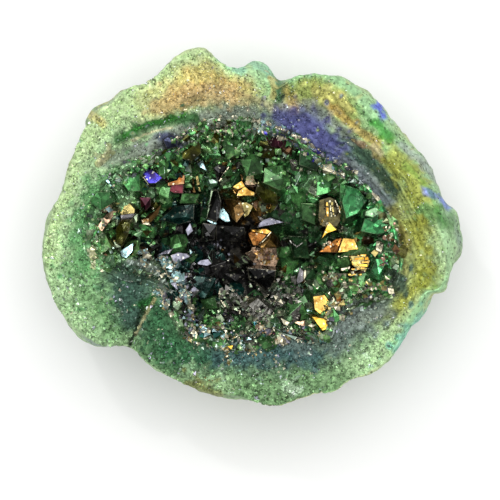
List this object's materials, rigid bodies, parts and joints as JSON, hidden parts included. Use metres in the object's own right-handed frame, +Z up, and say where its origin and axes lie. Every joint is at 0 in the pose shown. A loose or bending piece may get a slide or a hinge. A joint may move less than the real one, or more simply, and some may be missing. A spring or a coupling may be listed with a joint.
{
  "type": "aura quartz geode half",
  "caption": "Half of a hollow quartz geode: a lumpy rind with a broken rim and a hollow lined with a crust of coated crystals; rests on its rounded back.",
  "frame": {"origin": "middle of the small flat on the underside that the geode rests on", "axes": "+Z up, out of the hollow; +X along the geode's longest width, towards its right flank as seen from above; +Y towards the upper notch"},
  "size_m": [0.0719, 0.0608, 0.0304],
  "materials": {
    "rind_druse": "sugary quartz grain under a green, gold and violet metal film",
    "aura_quartz": "glossy crystal faces under a thin iridescent metal film, dark green with gold, blue and silver glints"
  },
  "bodies": {
    "root": {"rind": "rind_druse", "crystal_crust": "aura_quartz"}
  },
  "joints": []
}
